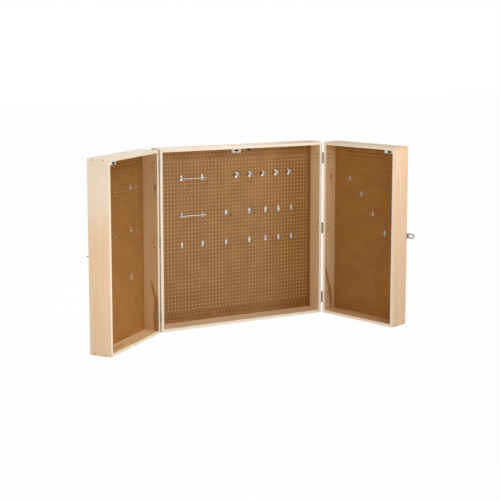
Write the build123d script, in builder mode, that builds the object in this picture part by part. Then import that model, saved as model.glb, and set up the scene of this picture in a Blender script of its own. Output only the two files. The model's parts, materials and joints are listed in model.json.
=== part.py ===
"""A wall tool cabinet with two deep doors, lined with pegboard.

The frame of the model: the underside of the middle box is at Z = 0, its centre line at X = 0 and
its mid-depth at Y = 0. +X is to the right as someone faces the cabinet, +Y goes into the wall and
+Z is up. Both doors stand open, as they are used. All lengths are in millimetres.
"""

from build123d import *
from collections import namedtuple
from math import cos, radians, sin
import os

os.makedirs("parts", exist_ok=True)

# ---- the three boxes ----
cabinet_width = 1219.2
cabinet_height = 1219.2
box_depth = 152.4  # the middle box and each door are as deep as one another
board = 19.05  # thickness of the solid boards
seam = 2.0  # between the middle box and a closed door
middle_gap = 3.0  # between the two closed doors
left_opening = 140.8  # degrees that each door stands open
right_opening = 110.2

# ---- pegboards and what backs them ----
peg_sheet = 6.35
pitch = 25.4
peg_hole_r = 3.175
rail_height = 63.5  # hanging rails behind the middle pegboard
hanging_column = 16  # peg holes from the middle to the screws that hang the cabinet
door_panel = 12.7  # the sheet that closes each door
cleat_depth = 25.4  # strips that hold a door's pegboard off its panel
cleat_width = 19.05

# ---- hinges, three on each side ----
hinge_height = 76.2
hinge_inset = 112.0  # from the top and the bottom to the middle of the outer hinges
leaf_sheet = 3.0
leaf_width = 46.0
pin_r = 3.175
running = 0.05  # clearance round a pin
knuckles = 5
knuckle_gap = 0.4
pin_head_r = 4.6
pin_head = 1.6
hinge_screw_rise = 30.0  # the outer screws, above and below the middle one
hinge_screw_near = 26.0  # from the pin to the outer screws, and to the middle one
hinge_screw_far = 36.0

# ---- wood screws ----
screw_r = 2.2
screw_head_r = 4.4
screw_head = 2.2
screw_fit = 0.1  # clearance round a screw
corner_screw_length = 50.0
corner_screw_inset = 38.1  # from the front and the back edge of a board
tip_past = 1.5  # how far a hinge screw comes through its board, into its nut
nut_r = 4.5
nut_height = 2.5

# ---- catches under the top boards ----
catch_width = 66.0
catch_height = 26.0
catch_depth = 20.0
catch_middle = -56.0
catch_round = 5.0  # of its lower corners
magnet_width = 30.0
magnet_height = 12.5
magnet_drop = 10.0  # from the top board down to the middle of the magnet
magnet_proud = 0.5
keeper_middle = 35.5
keeper_width = 26.0
keeper_height = 14.0
keeper_sheet = 2.0
keeper_screw_r = 3.8
keeper_screw_spacing = 14.0
block_width = 65.0  # glued into the top free corner of each door
block_height = 20.0
strike_border = 4.0  # of the pale plate round the dark one
strike_from_board = {"left_door": 37.0, "right_door": 26.0}

# ---- hasp and staple ----
hasp_height = 36.0
hasp_sheet = 2.5
hasp_barrel_r = 4.1
hasp_pin_r = 2.0
hasp_pin_inset = 6.0  # from the right door's free edge
hasp_plate = 38.0
hasp_reach = 59.3  # past the free edge
slot_reach = 31.4  # from the free edge to the middle of the slot
slot_length = 30.0
slot_height = 16.0
hasp_screw_rise = 11.0
staple_plate = 36.0
staple_wire_r = 3.0
staple_bend_r = 7.0
staple_out = 30.0
staple_screw_across = 12.5
fitting_screw_length = 14.0  # holds the hasp and the staple, short of coming through a panel

# ---- tool holders ----
holder_width = 20.0  # of a plate's foot, from which it narrows upwards
holder_height = 39.0
holder_slope = 82.5  # degrees between the foot and each side
holder_round = 4.5
holder_sheet = 2.0
holder_rise = 4.0  # the plate reaches further above its pegs than below
peg_r = 2.6
peg_past = 6.0  # behind the pegboard
arm_r = 3.0
arm_drop = 3.0  # from midway between the pegs down to the arm
tip_bend_r = 9.0
tip_turn = 65.0
tip_length = 8.0
bar_length = 200.0
bar_reach = 16.0
bar_r = 4.0
bar_post_r = 3.0
double_spread = 18.0
yoke_width = 30.0  # the plate that spreads a double hook's two arms
yoke_height = 9.0
clip_bore_r = 14.0
clip_sheet = 1.6
clip_height = 20.0
clip_rise = 10.0  # from midway between the pegs up to the middle of the clip
clip_plate_width = 11.0
clip_turn = 130.0  # each jaw's turn, from the back of the clip round to its mouth
clip_flare_r = 7.0
clip_flare_turn = 75.0
small_reach = 65.0
medium_reach = 85.0
double_reach = 132.0
left_door_reach = 40.0
right_door_reach = 36.0

# Places of the holders, in peg holes across from the middle of the pegboard and up from it.
bar_places = [("upper", -13, 15.5), ("lower", -13, 5.5)]
bar_half_holes = 3
clip_row = 15.5
clip_columns = [0, 4, 8, 12, 16]
hook_row = 5.5
double_columns = [-3, 4]
medium_columns = [9, 13, 17]
small_row = -2.5
small_columns = [-16, -10, -3, 4, 9, 13, 17]
left_door_places = [(-5, 15), (-5, 4), (-5, -8), (5, 15), (5, 4), (5, -8)]
right_door_places = [(-6, 14), (-2, 10), (2, 5), (6, 0)]

# ---- worked out from the sizes above ----
half_width = cabinet_width / 2
front = -box_depth / 2
knuckle_r = pin_r + running + leaf_sheet
door_width = (cabinet_width - middle_gap) / 2
peg_set = box_depth - board - peg_sheet  # open face to the face of the middle pegboard
door_peg_set = box_depth - door_panel - cleat_depth - peg_sheet
door_cleat_set = door_peg_set + peg_sheet
door_panel_set = door_cleat_set + cleat_depth
hinge_heights = [hinge_inset, cabinet_height / 2, cabinet_height - hinge_inset]
hasp_z = cabinet_height / 2
# The hanging screws pass through the row of peg holes nearest to the middle of each rail.
hanging_row = round((cabinet_height / 2 - board - rail_height / 2) / pitch)
knuckle = hinge_height / knuckles
hinge_screw_length = leaf_sheet + board + tip_past
under_top = cabinet_height - board

# The hasp turns on a pin near the right door's free edge, and its slot drops over the staple on
# the left door. The screws of each are given as a middle and the steps across from it.
hasp_notch = hasp_barrel_r + knuckle_gap
hasp_pin_x = knuckle_r + door_width - hasp_pin_inset
staple_x = knuckle_r + door_width - (slot_reach - middle_gap)
fitting_screws = {
    "left_door": (staple_x, (-staple_screw_across, staple_screw_across)),
    "right_door": (hasp_pin_x - (hasp_plate + hasp_notch) / 2, (0.0,)),
}

# A case is one of the three boxes: its plane, the X of its two sides there, the Y of its open
# face, and the sign of Y going deeper into it.
Case = namedtuple("Case", "name plane x_low x_high y_open inward")


def door_case(name, side, opening):
    """A door's case: its plane stands on the hinge pin's line, with X running to the free edge."""
    angle = radians(opening)
    plane = Plane(
        origin=(side * (half_width + knuckle_r), front - seam / 2, 0),
        x_dir=(-side * cos(angle), -sin(angle), 0),
        z_dir=(0, 0, 1),
    )
    return Case(name, plane, knuckle_r, knuckle_r + door_width, side * seam / 2, side)


cabinet = Case("cabinet", Plane.XY, -half_width, half_width, front, 1)
left_door = door_case("left_door", -1, left_opening)
right_door = door_case("right_door", 1, right_opening)
doors = [left_door, right_door]


def at_depth(case, depth):
    """The Y, in a case's plane, of a depth measured from its open face."""
    return case.y_open + case.inward * depth


def slab(low, high, mode=Mode.ADD):
    """A box between two corners, in the plane of the part that is being built."""
    middle = tuple((a + b) / 2 for a, b in zip(low, high))
    with Locations(middle):
        Box(*(abs(b - a) for a, b in zip(low, high)), mode=mode)


def wall_plane(case, x, depth, z):
    """A plane that faces the case's opening: X across, Y up and Z out of the case."""
    across = case.plane.x_dir * case.inward
    return Plane(
        origin=case.plane.from_local_coords(Vector(x, at_depth(case, depth), z)),
        x_dir=across,
        z_dir=across.cross(Vector(0, 0, 1)),
    )


def finish(part, name):
    """Label a part and write its file."""
    part.label = name
    export_step(part, f"parts/{name}.step")


def screw(length, fit=0.0, mode=Mode.ADD):
    """A countersunk screw that points along the local Z, its head's face at the origin."""
    low = (Align.CENTER, Align.CENTER, Align.MIN)
    Cone(screw_head_r + fit, screw_r + fit, screw_head + fit, align=low, mode=mode)
    Cylinder(screw_r + fit, length + fit, align=low, mode=mode)


def corner_screw_places(case):
    """Planes at the heads of a case's corner screws, each looking into its board."""
    places = []
    for x, way in ((case.x_low, 1), (case.x_high, -1)):
        for depth in (corner_screw_inset, box_depth - corner_screw_inset):
            for z in (board / 2, cabinet_height - board / 2):
                places.append(Plane(origin=(x, at_depth(case, depth), z), z_dir=(way, 0, 0)))
    return places


def hinge_screw_places(case, x, way):
    """Planes at the heads of the hinge screws on one side of a case, looking into the board."""
    places = []
    for middle in hinge_heights:
        for rise in (-1, 0, 1):
            run = (hinge_screw_far if rise == 0 else hinge_screw_near) - seam / 2
            z = middle + rise * hinge_screw_rise
            head = (x - way * leaf_sheet, at_depth(case, run), z)
            places.append(Plane(origin=head, z_dir=(way, 0, 0)))
    return places


def hinge_sides(case):
    """The sides of a case that carry hinges, as X and the way into the board."""
    if case.name == "cabinet":
        return [(case.x_low, 1), (case.x_high, -1)]
    return [(case.x_low, 1)]


def fitting_screw_places(case):
    """Planes at the heads of the screws of a door's hasp or staple, looking into the door."""
    if case.name == "cabinet":
        return []
    middle, across = fitting_screws[case.name]
    return [
        Plane(
            origin=(middle + side, at_depth(case, box_depth + hasp_sheet), hasp_z + rise),
            z_dir=(0, -case.inward, 0),
        )
        for side in across
        for rise in (-hasp_screw_rise, hasp_screw_rise)
    ]


def drill_fitting_screws(case):
    """Cut the holes of the hasp's or the staple's screws out of the current part."""
    for place in fitting_screw_places(case):
        with Locations(place):
            screw(fitting_screw_length, screw_fit, Mode.SUBTRACT)


# ---------------------------------------------------------------- boards of the three boxes
def build_sides(case, names):
    """The two full-height side boards, drilled for the corner screws and the hinge screws."""
    for name, x, way in zip(names, (case.x_low, case.x_high), (1, -1)):
        with BuildPart(case.plane) as side:
            slab((x, at_depth(case, 0), 0), (x + way * board, at_depth(case, box_depth), cabinet_height))
            for place in corner_screw_places(case):
                with Locations(place):
                    screw(corner_screw_length, screw_fit, Mode.SUBTRACT)
            if (x, way) in hinge_sides(case):
                for place in hinge_screw_places(case, x, way):
                    with Locations(place):
                        screw(hinge_screw_length + tip_past, screw_fit, Mode.SUBTRACT)
            if x == case.x_high:
                drill_fitting_screws(case)
        finish(side.part, name)


def build_top_and_bottom(case):
    """The boards between the sides, with the corner screws' pilot holes in their ends."""
    low_x, high_x = case.x_low + board, case.x_high - board
    for level, z in (("top", cabinet_height - board), ("bottom", 0)):
        with BuildPart(case.plane) as plank:
            slab((low_x, at_depth(case, 0), z), (high_x, at_depth(case, box_depth), z + board))
            for place in corner_screw_places(case):
                with Locations(place):
                    screw(corner_screw_length, screw_fit, Mode.SUBTRACT)
        finish(plank.part, f"{case.name}_{level}")


def build_screws(case):
    """Every screw of one box, in its boards, its hinge leaves with their nuts, and its fittings."""
    with BuildPart(case.plane) as screws:
        for place in corner_screw_places(case):
            with Locations(place):
                screw(corner_screw_length)
        for x, way in hinge_sides(case):
            for place in hinge_screw_places(case, x, way):
                with Locations(place):
                    screw(hinge_screw_length)
                    with Locations((0, 0, leaf_sheet + board)):
                        Cylinder(nut_r, nut_height, align=(Align.CENTER, Align.CENTER, Align.MIN))
        for place in fitting_screw_places(case):
            with Locations(place):
                screw(fitting_screw_length)
    finish(screws.part, f"{case.name}_screws")


build_sides(cabinet, ["cabinet_side_left", "cabinet_side_right"])
build_sides(left_door, ["left_door_side_hinged", "left_door_side_free"])
build_sides(right_door, ["right_door_side_hinged", "right_door_side_free"])
for case in (cabinet, *doors):
    build_top_and_bottom(case)
    build_screws(case)


# ---------------------------------------------------------------- pegboards and their backing
def build_pegboard(case, depth, peg_rows):
    """A sheet that fills the box, with a full row of peg holes at each height in use."""
    middle_x = (case.x_low + case.x_high) / 2
    face = wall_plane(case, middle_x, depth, cabinet_height / 2)
    columns = columns_across(case)
    with BuildPart(face) as sheet:
        with BuildSketch(face):
            Rectangle(case.x_high - case.x_low - 2 * board, cabinet_height - 2 * board)
            for row in peg_rows:
                with Locations((0, row * pitch)):
                    with GridLocations(pitch, pitch, columns, 1):
                        Circle(peg_hole_r, mode=Mode.SUBTRACT)
        extrude(amount=-peg_sheet)
    finish(sheet.part, f"{case.name}_pegboard")


def columns_across(case):
    """How many peg holes fit across a case: an odd number, so that one is in the middle."""
    clear = case.x_high - case.x_low - 2 * board - 2 * pitch
    return 2 * int(clear / pitch / 2) + 1


def peg_pair_rows(plate_rows):
    """The two peg rows of each holder height."""
    return sorted({row + half for row in plate_rows for half in (-0.5, 0.5)})


hanging_rows = [-hanging_row, hanging_row]
build_pegboard(cabinet, peg_set, hanging_rows + peg_pair_rows([clip_row, hook_row, small_row]))
build_pegboard(left_door, door_peg_set, peg_pair_rows([row for _, row in left_door_places]))
build_pegboard(right_door, door_peg_set, peg_pair_rows([row for _, row in right_door_places]))

for level, way in (("bottom", -1), ("top", 1)):
    seat = cabinet_height / 2 + way * (cabinet_height / 2 - board)
    with BuildPart() as rail:
        slab(
            (-half_width + board, front + peg_set + peg_sheet, seat),
            (half_width - board, front + box_depth, seat - way * rail_height),
        )
        hole_z = cabinet_height / 2 + way * hanging_row * pitch
        with Locations(Plane(origin=(0, 0, hole_z), z_dir=(0, 1, 0))):
            with GridLocations(2 * hanging_column * pitch, 1, 2, 1):
                Cylinder(peg_hole_r, 2 * box_depth, mode=Mode.SUBTRACT)
    finish(rail.part, f"cabinet_rail_{level}")

for case in doors:
    inner_low, inner_high = case.x_low + board, case.x_high - board
    back, panel_face = at_depth(case, door_cleat_set), at_depth(case, door_panel_set)
    with BuildPart(case.plane) as cleats:
        slab((inner_low, back, board), (inner_high, panel_face, cabinet_height - board))
        slab(
            (inner_low + cleat_width, back, board + cleat_width),
            (inner_high - cleat_width, panel_face, cabinet_height - board - cleat_width),
            mode=Mode.SUBTRACT,
        )
    finish(cleats.part, f"{case.name}_cleats")

    with BuildPart(case.plane) as panel:
        slab(
            (inner_low, panel_face, board),
            (inner_high, at_depth(case, box_depth), cabinet_height - board),
        )
        drill_fitting_screws(case)
    finish(panel.part, f"{case.name}_panel")


# ---------------------------------------------------------------- hinges
def build_leaf(name, plane, way, own_knuckles, with_pin):
    """One leaf of a butt hinge on a plane at the pin's middle: X into the board, Y along it."""
    bottom = -hinge_height / 2
    leaf_low, leaf_high = knuckle_r - leaf_sheet, knuckle_r
    with BuildPart(plane) as leaf:
        notch = knuckle_r + knuckle_gap
        slab(
            (leaf_low, way * notch, bottom),
            (leaf_high, way * leaf_width, bottom + hinge_height),
        )
        for index in own_knuckles:
            z = bottom + (index + 0.5) * knuckle
            length = knuckle - knuckle_gap
            with Locations((0, 0, z)):
                Cylinder(knuckle_r, length)
            slab((leaf_low, 0, z - length / 2), (leaf_high, way * notch, z + length / 2))
        if with_pin:
            # The pin is pressed into these knuckles, and its heads close the two ends.
            span = hinge_height - knuckle_gap
            Cylinder(pin_r, span)
            for end in (-1, 1):
                with Locations((0, 0, end * (span + pin_head) / 2)):
                    Cylinder(pin_head_r, pin_head)
        else:
            Cylinder(pin_r + running, hinge_height, mode=Mode.SUBTRACT)
        for rise in (-1, 0, 1):
            run = hinge_screw_far if rise == 0 else hinge_screw_near
            head = Plane(origin=(leaf_low, way * run, rise * hinge_screw_rise), z_dir=(1, 0, 0))
            with Locations(head):
                screw(hinge_screw_length, screw_fit, Mode.SUBTRACT)
    finish(leaf.part, name)


for case in doors:
    side = case.inward
    for number, z in enumerate(hinge_heights, 1):
        pin_line = case.plane.origin + Vector(0, 0, z)
        jamb = Plane(origin=pin_line, x_dir=(-side, 0, 0), z_dir=(0, 0, 1))
        hand = case.name.removesuffix("_door")
        build_leaf(f"cabinet_leaf_{hand}_{number}", jamb, -side, (0, 2, 4), True)
        swing = Plane(origin=pin_line, x_dir=case.plane.x_dir, z_dir=(0, 0, 1))
        build_leaf(f"{case.name}_leaf_{number}", swing, side, (1, 3), False)

# ---------------------------------------------------------------- catches
magnet_z = under_top - magnet_drop

with BuildPart() as catch:
    slab(
        (catch_middle - catch_width / 2, front, under_top - catch_height),
        (catch_middle + catch_width / 2, front + catch_depth, under_top),
    )
    fillet(catch.edges().filter_by(Axis.Y).group_by(Axis.Z)[0], catch_round)
    with BuildSketch(wall_plane(cabinet, catch_middle, 0, magnet_z)):
        SlotOverall(magnet_width, magnet_height)
    extrude(amount=-catch_depth / 2, mode=Mode.SUBTRACT)
finish(catch.part, "cabinet_catch")

with BuildPart() as magnet:
    with BuildSketch(wall_plane(cabinet, catch_middle, catch_depth / 2, magnet_z)):
        SlotOverall(magnet_width - 2 * running, magnet_height - 2 * running)
    extrude(amount=catch_depth / 2 + magnet_proud)
finish(magnet.part, "cabinet_magnet")

with BuildPart() as keeper:
    slab(
        (keeper_middle - keeper_width / 2, front, under_top - keeper_height),
        (keeper_middle + keeper_width / 2, front + keeper_sheet, under_top),
    )
    slab(
        (keeper_middle - keeper_width / 2, front, under_top - keeper_sheet),
        (keeper_middle + keeper_width / 2, front + catch_depth, under_top),
    )
    with Locations(wall_plane(cabinet, keeper_middle, 0, magnet_z)):
        with GridLocations(keeper_screw_spacing, 1, 2, 1):
            Cylinder(keeper_screw_r, magnet_proud, align=(Align.CENTER, Align.CENTER, Align.MIN))
finish(keeper.part, "cabinet_keeper")

for case in doors:
    free_inside = case.x_high - board
    with BuildPart(case.plane) as block:
        slab(
            (free_inside - block_width, at_depth(case, 0), under_top - block_height),
            (free_inside, at_depth(case, catch_depth), under_top),
        )
    finish(block.part, f"{case.name}_corner_block")

    strike_face = wall_plane(case, free_inside - strike_from_board[case.name], 0, magnet_z)
    with BuildPart(strike_face) as strike:
        with BuildSketch(strike_face):
            SlotOverall(magnet_width + strike_border, magnet_height + strike_border)
        extrude(amount=magnet_proud)
        with BuildSketch(strike_face.offset(magnet_proud)):
            SlotOverall(magnet_width - strike_border, magnet_height - strike_border)
        extrude(amount=magnet_proud / 2)
    finish(strike.part, f"{case.name}_strike")

# ---------------------------------------------------------------- hasp on the right door
hasp_face = at_depth(right_door, box_depth)
hasp_pin_y = at_depth(right_door, box_depth + hasp_barrel_r)
hasp_third = hasp_height / 3

with BuildPart(right_door.plane) as hasp_base:
    slab(
        (hasp_pin_x - hasp_plate, hasp_face, hasp_z - hasp_height / 2),
        (hasp_pin_x - hasp_notch, hasp_face + hasp_sheet, hasp_z + hasp_height / 2),
    )
    for end in (-1, 1):
        z = hasp_z + end * hasp_third
        length = hasp_third - knuckle_gap
        with Locations((hasp_pin_x, hasp_pin_y, z)):
            Cylinder(hasp_barrel_r, length)
        slab(
            (hasp_pin_x - hasp_notch, hasp_face, z - length / 2),
            (hasp_pin_x, hasp_face + hasp_sheet, z + length / 2),
        )
    with Locations((hasp_pin_x, hasp_pin_y, hasp_z)):
        Cylinder(hasp_pin_r, hasp_height)
    drill_fitting_screws(right_door)
finish(hasp_base.part, "right_door_hasp_plate")

strap_end = right_door.x_high + hasp_reach
strap_turn = strap_end - hasp_height / 2
strap_face = wall_plane(right_door, 0, box_depth + hasp_barrel_r - hasp_sheet / 2, hasp_z)
with BuildPart(right_door.plane) as strap:
    with BuildSketch(strap_face):
        strap_start = hasp_pin_x + hasp_notch
        with Locations(((strap_start + strap_turn) / 2, 0)):
            Rectangle(strap_turn - strap_start, hasp_height)
        with Locations((strap_turn, 0)):
            Circle(hasp_height / 2)
        with Locations(((hasp_pin_x + strap_start) / 2, 0)):
            Rectangle(strap_start - hasp_pin_x, hasp_third - knuckle_gap)
        with Locations((right_door.x_high + slot_reach, 0)):
            SlotOverall(slot_length, slot_height, mode=Mode.SUBTRACT)
    extrude(amount=-hasp_sheet)
    with Locations((hasp_pin_x, hasp_pin_y, hasp_z)):
        Cylinder(hasp_barrel_r, hasp_third - knuckle_gap)
        Cylinder(hasp_pin_r + running, hasp_height, mode=Mode.SUBTRACT)
finish(strap.part, "hasp_strap")

# ---------------------------------------------------------------- staple on the left door
staple_face = wall_plane(left_door, staple_x, box_depth, hasp_z)
staple_bend = box_depth + staple_out - staple_wire_r - staple_bend_r
foot_y, bend_y = at_depth(left_door, box_depth), at_depth(left_door, staple_bend)
bend_top_y = bend_y + left_door.inward * staple_bend_r
with BuildPart(left_door.plane) as staple:
    with BuildSketch(staple_face):
        RectangleRounded(staple_plate, hasp_height, staple_wire_r)
    extrude(amount=-hasp_sheet)
    with BuildLine(left_door.plane.offset(hasp_z)) as wire:
        low_x, high_x = staple_x - staple_bend_r, staple_x + staple_bend_r
        Line((low_x, foot_y), (low_x, bend_y))
        ThreePointArc((low_x, bend_y), (staple_x, bend_top_y), (high_x, bend_y))
        Line((high_x, bend_y), (high_x, foot_y))
    with BuildSketch(Plane(origin=wire.wires()[0] @ 0, z_dir=wire.wires()[0] % 0)):
        Circle(staple_wire_r)
    sweep(path=wire.wires()[0])
    drill_fitting_screws(left_door)
finish(staple.part, "left_door_staple")


# ---------------------------------------------------------------- tool holders
def holder_plane(case, depth, column, row):
    """The plane of a holder's plate on a pegboard, counted in peg holes from its middle."""
    middle_x = (case.x_low + case.x_high) / 2
    return wall_plane(case, middle_x + column * pitch, depth, cabinet_height / 2 + row * pitch)


def holder_plate(face, foot=holder_width, slope=holder_slope):
    """A zinc plate with two pegs that pass through the pegboard, added to the current part."""
    with BuildSketch(face) as plate:
        with Locations((0, holder_rise)):
            Trapezoid(foot, holder_height, slope)
        fillet(plate.vertices(), holder_round)
    extrude(plate.sketch, amount=holder_sheet)
    with BuildSketch(face) as pegs:
        with GridLocations(1, pitch, 1, 2):
            Circle(peg_r)
    extrude(pegs.sketch, amount=-(peg_sheet + peg_past))


def arm(face, reach, across=0.0):
    """A round arm out of a plate, with a tip that turns up, added to the current part."""
    root = face.from_local_coords(Vector(across, -arm_drop, 0))
    upright = Plane(origin=root, x_dir=face.z_dir, z_dir=face.x_dir * -1)
    with BuildLine(upright) as path:
        run = Line((0, 0), (reach - tip_bend_r, 0))
        bend = JernArc(run @ 1, run % 1, tip_bend_r, tip_turn)
        Line(bend @ 1, bend @ 1 + (bend % 1) * tip_length)
    with BuildSketch(Plane(origin=root, z_dir=face.z_dir)) as section:
        Circle(arm_r)
    sweep(section.sketch, path=path.wires()[0])


def build_hooks(name, case, depth, places, reach, spread=0.0):
    """Hooks of one kind, each a plate with one arm, or with two where they are spread."""
    with BuildPart() as hooks:
        for column, row in places:
            face = holder_plane(case, depth, column, row)
            holder_plate(face)
            for across in (-spread / 2, spread / 2) if spread else (0.0,):
                arm(face, reach, across)
            if spread:
                with BuildSketch(face) as yoke:
                    with Locations((0, -arm_drop)):
                        SlotOverall(yoke_width, yoke_height)
                extrude(yoke.sketch, amount=holder_sheet)
    finish(hooks.part, name)


for level, column, row in bar_places:
    with BuildPart() as bar:
        for post in (-bar_half_holes, bar_half_holes):
            face = holder_plane(cabinet, peg_set, column + post, row)
            holder_plate(face)
            with Locations(face):
                Cylinder(bar_post_r, bar_reach, align=(Align.CENTER, Align.CENTER, Align.MIN))
        middle = holder_plane(cabinet, peg_set, column, row)
        rod = middle.from_local_coords(Vector(0, 0, bar_reach))
        with Locations(Plane(origin=rod, z_dir=(1, 0, 0))):
            Cylinder(bar_r, bar_length)
    finish(bar.part, f"bar_holder_{level}")

with BuildPart() as clips:
    for column in clip_columns:
        face = holder_plane(cabinet, peg_set, column, clip_row)
        holder_plate(face, clip_plate_width, 90)
        # Seen from above: each jaw is an arc from the back of the clip, then a flare outwards.
        jaw_r = clip_bore_r + clip_sheet / 2
        centre = face.from_local_coords(Vector(0, clip_rise, holder_sheet + jaw_r))
        base = Plane(origin=centre - Vector(0, 0, clip_height / 2), x_dir=(1, 0, 0), z_dir=(0, 0, 1))
        for way in (-1, 1):
            with BuildSketch(base) as strip:
                with BuildLine() as jaw:
                    grip = CenterArc((0, 0), jaw_r, 90, way * clip_turn)
                    JernArc(grip @ 1, grip % 1, clip_flare_r, -way * clip_flare_turn)
                trace(jaw.edges(), clip_sheet)
            extrude(strip.sketch, amount=clip_height)
finish(clips.part, "spring_clips")

for number, column in enumerate(double_columns, 1):
    build_hooks(
        f"double_hook_{number}", cabinet, peg_set, [(column, hook_row)], double_reach, double_spread
    )
for number, column in enumerate(medium_columns, 1):
    build_hooks(f"medium_hook_{number}", cabinet, peg_set, [(column, hook_row)], medium_reach)
build_hooks(
    "small_hooks", cabinet, peg_set, [(column, small_row) for column in small_columns], small_reach
)
build_hooks("left_door_hooks", left_door, door_peg_set, left_door_places, left_door_reach)
build_hooks("right_door_hooks", right_door, door_peg_set, right_door_places, right_door_reach)
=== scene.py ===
"""A wall tool cabinet with deep pegboard doors: its finishes, small parts and studio.

Run as a script, it loads the cabinet's fixed frame and calls the operators below in order: each
one dresses or makes one kind of piece. Lengths are in metres in the cabinet's own frame: +X to the
right, +Y into the wall, +Z up, with the underside of the middle box at Z = 0.
"""

import json
from collections import namedtuple
from math import atan2, cos, pi, radians, sin

import bpy
import numpy as np
from bpy.props import FloatProperty, FloatVectorProperty, IntProperty, PointerProperty
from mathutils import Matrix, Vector


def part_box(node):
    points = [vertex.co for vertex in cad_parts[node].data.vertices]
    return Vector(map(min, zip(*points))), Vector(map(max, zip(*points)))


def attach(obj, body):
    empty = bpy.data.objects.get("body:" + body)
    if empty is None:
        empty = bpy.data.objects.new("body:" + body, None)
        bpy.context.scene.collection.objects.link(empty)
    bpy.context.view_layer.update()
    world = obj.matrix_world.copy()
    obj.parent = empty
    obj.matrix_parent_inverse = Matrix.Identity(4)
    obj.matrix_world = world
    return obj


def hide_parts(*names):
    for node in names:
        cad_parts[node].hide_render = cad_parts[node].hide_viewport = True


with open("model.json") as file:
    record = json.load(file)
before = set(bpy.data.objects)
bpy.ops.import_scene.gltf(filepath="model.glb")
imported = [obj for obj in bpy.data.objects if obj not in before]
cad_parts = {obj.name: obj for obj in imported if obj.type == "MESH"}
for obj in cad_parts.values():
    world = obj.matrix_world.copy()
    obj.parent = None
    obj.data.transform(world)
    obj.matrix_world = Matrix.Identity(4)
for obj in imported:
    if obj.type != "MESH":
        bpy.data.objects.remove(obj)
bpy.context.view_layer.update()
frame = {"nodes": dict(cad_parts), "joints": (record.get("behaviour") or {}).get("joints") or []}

bl_info = {
    "name": "Tool Cabinet",
    "version": (1, 0, 0),
    "blender": (4, 5, 0),
    "location": "3D View > Sidebar > Tool Cabinet",
    "description": "Dresses a wooden tool cabinet with pegboard doors and sets up its studio",
    "category": "Object",
}

UP = np.array([0.0, 0.0, 1.0])


# ---------------------------------------------------------------- the three boxes
# A case is the frame of one box: across and deeper are unit vectors along its width and from its
# open face towards its back, so that across, deeper and up are a right-handed set.
Case = namedtuple("Case", "name origin across deeper")
ACROSS, DEEPER, UPWARDS = 0, 1, 2


def door_case(name, side):
    """A door's case, from its hinge: the joint's lower limit is the angle back to closed.

    side is 1 for the door on the right and -1 for the one on the left.
    """
    joint = next(j for j in frame["joints"] if j["child"] == name)
    opening = radians(-joint["range_deg"][0])
    across = np.array([-cos(opening), -side * sin(opening), 0.0])
    return Case(name, np.array(joint["pos_m"]), across, np.cross(UP, across))


def middle_case():
    """The middle box's case: its origin is on its centre line at its open face."""
    low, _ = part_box("cabinet_side_left")
    origin = np.array([0.0, low[1], 0.0])
    return Case("cabinet", origin, np.array([1.0, 0.0, 0.0]), np.array([0.0, 1.0, 0.0]))


MIDDLE_BOX = middle_case()
DOORS = [door_case("left_door", -1), door_case("right_door", 1)]
CASES = [MIDDLE_BOX, *DOORS]


def axes(case):
    """The case's three axes as the rows of a matrix."""
    return np.stack([case.across, case.deeper, UP])


def to_world(case, points):
    """Case coordinates (across, deeper, up) turned into the cabinet's frame."""
    return case.origin + np.asarray(points) @ axes(case)


def reach(case, node_name):
    """The lowest and the highest corner of a node in its case's coordinates."""
    mesh = frame["nodes"][node_name].data
    points = np.empty(len(mesh.vertices) * 3)
    mesh.vertices.foreach_get("co", points)
    local = (points.reshape(-1, 3) - case.origin) @ axes(case).T
    return local.min(axis=0), local.max(axis=0)


def inner_face(case, node_name, axis):
    """The face of a board that looks into its box: its axis, its place and its inward side."""
    low, high = reach(case, node_name)
    board_low, board_high = reach(case, f"{case.name}_pegboard")
    if low[axis] + high[axis] < board_low[axis] + board_high[axis]:
        return axis, float(high[axis]), -1.0
    return axis, float(low[axis]), 1.0


# ---------------------------------------------------------------- shader nodes
def new_material(name):
    """An empty material with a Principled shader: the material, its tree and the shader."""
    material = bpy.data.materials.new(name)
    material.use_nodes = True
    tree = material.node_tree
    tree.nodes.clear()
    shader = tree.nodes.new("ShaderNodeBsdfPrincipled")
    output = tree.nodes.new("ShaderNodeOutputMaterial")
    tree.links.new(shader.outputs["BSDF"], output.inputs["Surface"])
    return material, tree, shader


def add(tree, kind, inputs=None, **settings):
    """A node of a kind, with its settings, and its inputs set or linked."""
    made = tree.nodes.new("ShaderNode" + kind)
    for key, value in settings.items():
        setattr(made, key, value)
    for key, value in (inputs or {}).items():
        if isinstance(value, bpy.types.NodeSocket):
            tree.links.new(value, made.inputs[key])
        else:
            made.inputs[key].default_value = value
    return made


def maths(tree, operation, first, second):
    """The result of a Math node."""
    return add(tree, "Math", {0: first, 1: second}, operation=operation).outputs[0]


def split(tree, vector):
    """A vector's three parts."""
    return add(tree, "SeparateXYZ", {"Vector": vector}).outputs


def ramp(tree, value, low, high, to_low=0.0, to_high=1.0):
    """A value carried smoothly from one range to another, and held at its ends."""
    inputs = {"Value": value, "From Min": low, "From Max": high, "To Min": to_low, "To Max": to_high}
    return add(tree, "MapRange", inputs, interpolation_type="SMOOTHSTEP").outputs["Result"]


def mixed(tree, amount, first, second, blend="MIX"):
    """Two colours mixed by an amount."""
    made = add(tree, "Mix", data_type="RGBA", blend_type=blend)
    for socket, value in ((made.inputs[0], amount), (made.inputs[6], first), (made.inputs[7], second)):
        if isinstance(value, bpy.types.NodeSocket):
            tree.links.new(value, socket)
        else:
            socket.default_value = (*value, 1.0) if hasattr(value, "__len__") else value
    return made.outputs[2]


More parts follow.
